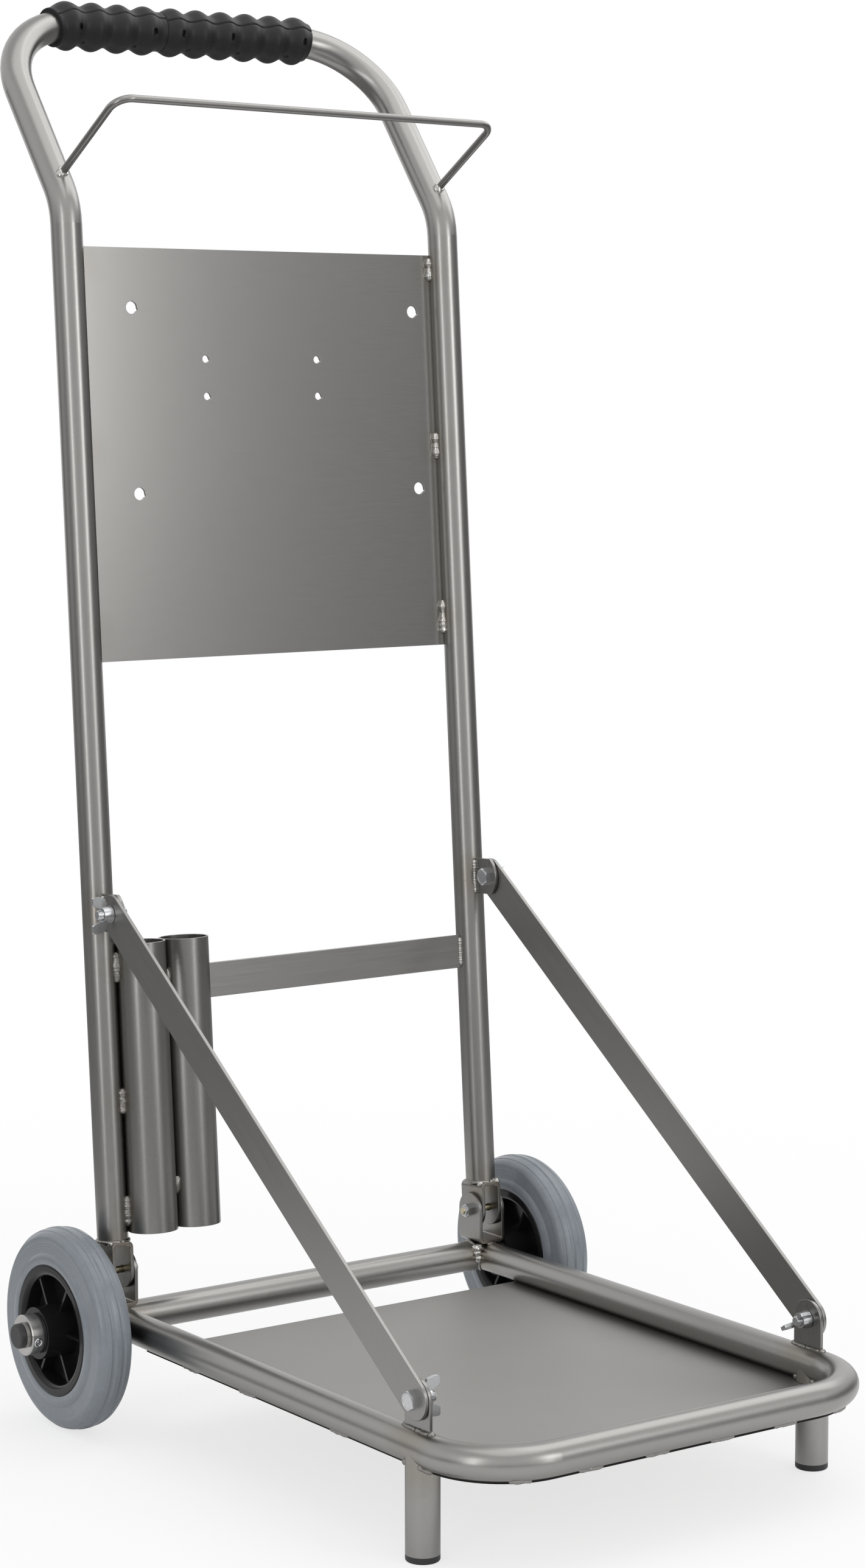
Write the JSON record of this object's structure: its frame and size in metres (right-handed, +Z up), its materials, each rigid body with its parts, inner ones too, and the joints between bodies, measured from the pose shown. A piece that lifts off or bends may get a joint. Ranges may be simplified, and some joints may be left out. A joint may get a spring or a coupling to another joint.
{
  "type": "folding equipment trolley",
  "caption": "Stainless steel folding trolley with a low railed platform, drilled back plate, hose hook, lance holder tubes, folding struts and rubber wheels.",
  "frame": {"origin": "on the floor, under the middle of the bounding box", "axes": "+Z up, -Y towards the front of the platform, +X to the right as seen from the front"},
  "size_m": [0.5432, 0.6958, 1.1316],
  "materials": {
    "stainless": "satin brushed stainless steel",
    "zinc": "bright zinc plated steel",
    "black_plastic": "moulded black plastic",
    "grip_rubber": "matt black rubber",
    "tyre_rubber": "dark blue grey solid rubber"
  },
  "bodies": {
    "platform": {"platform_rail": "stainless", "axle_tube": "stainless", "platform_plate": "stainless", "axle": "stainless", "front_leg_left": "stainless", "leg_cap_left": "black_plastic", "lower_lug_left": "stainless", "hinge_base_left": "stainless", "hinge_bolt_left": "zinc", "hinge_nut_left": "zinc", "hub_washers_left": "zinc", "axle_collar_left": "stainless", "collar_screw_left": "zinc", "axle_plug_left": "black_plastic", "lower_bolt_tip_left": "zinc", "front_leg_right": "stainless", "leg_cap_right": "black_plastic", "lower_lug_right": "stainless", "hinge_base_right": "stainless", "hinge_bolt_right": "zinc", "hinge_nut_right": "zinc", "hub_washers_right": "zinc", "axle_collar_right": "stainless", "collar_screw_right": "zinc", "axle_plug_right": "black_plastic", "lower_bolt_tip_right": "zinc"},
    "upright": {"upright_frame": "stainless", "hose_hook": "stainless", "back_plate": "stainless", "lance_holder_outer": "stainless", "lance_holder_inner": "stainless", "cross_bar": "stainless", "grip_sleeve_left": "grip_rubber", "hinge_bracket_left": "stainless", "upper_lug_left": "stainless", "upper_bolt_left": "zinc", "grip_sleeve_right": "grip_rubber", "hinge_bracket_right": "stainless", "upper_lug_right": "stainless", "upper_bolt_right": "zinc"},
    "strut_left": {"strut_left": "stainless", "lower_bolt_left": "zinc"},
    "wheel_left": {"tyre_left": "tyre_rubber", "rim_left": "black_plastic", "bearing_rollers_left": "zinc", "bearing_cage_left": "black_plastic"},
    "upper_wing_nut_left": {"upper_wing_nut_left": "zinc"},
    "lower_wing_nut_left": {"lower_wing_nut_left": "zinc"},
    "strut_right": {"strut_right": "stainless", "lower_bolt_right": "zinc"},
    "wheel_right": {"tyre_right": "tyre_rubber", "rim_right": "black_plastic", "bearing_rollers_right": "zinc", "bearing_cage_right": "black_plastic"},
    "upper_wing_nut_right": {"upper_wing_nut_right": "zinc"},
    "lower_wing_nut_right": {"lower_wing_nut_right": "zinc"}
  },
  "joints": [
    {"name": "upright_fold", "type": "hinge", "parent": "platform", "child": "upright", "pos_m": [0, 0.15558, 0.12], "axis": [1, 0, 0], "range_deg": [0, 90]},
    {"name": "strut_left_swing", "type": "hinge", "parent": "upright", "child": "strut_left", "pos_m": [-0.1853, 0.1476, 0.40726], "axis": [1, 0, 0], "range_deg": [-127.5, 0]},
    {"name": "wheel_left_spin", "type": "hinge", "parent": "platform", "child": "wheel_left", "pos_m": [-0.2246, 0.15558, 0.08], "axis": [1, 0, 0], "continuous": true},
    {"name": "upper_wing_nut_left_turn", "type": "hinge", "parent": "upright", "child": "upper_wing_nut_left", "pos_m": [-0.1871, 0.1476, 0.40726], "axis": [1, 0, 0], "continuous": true},
    {"name": "lower_wing_nut_left_turn", "type": "hinge", "parent": "platform", "child": "lower_wing_nut_left", "pos_m": [-0.1802, -0.26042, 0.1145], "axis": [1, 0, 0], "continuous": true},
    {"name": "strut_right_swing", "type": "hinge", "parent": "upright", "child": "strut_right", "pos_m": [0.1853, 0.1476, 0.40726], "axis": [1, 0, 0], "range_deg": [-127.5, 0]},
    {"name": "wheel_right_spin", "type": "hinge", "parent": "platform", "child": "wheel_right", "pos_m": [0.2246, 0.15558, 0.08], "axis": [1, 0, 0], "continuous": true},
    {"name": "upper_wing_nut_right_turn", "type": "hinge", "parent": "upright", "child": "upper_wing_nut_right", "pos_m": [0.1871, 0.1476, 0.40726], "axis": [1, 0, 0], "continuous": true},
    {"name": "lower_wing_nut_right_turn", "type": "hinge", "parent": "platform", "child": "lower_wing_nut_right", "pos_m": [0.1802, -0.26042, 0.1145], "axis": [1, 0, 0], "continuous": true}
  ],
  "couplings": [
    {"joint": "strut_left_swing", "follows": "upright_fold", "ratio": -1.4167},
    {"joint": "strut_right_swing", "follows": "upright_fold", "ratio": -1.4167}
  ]
}
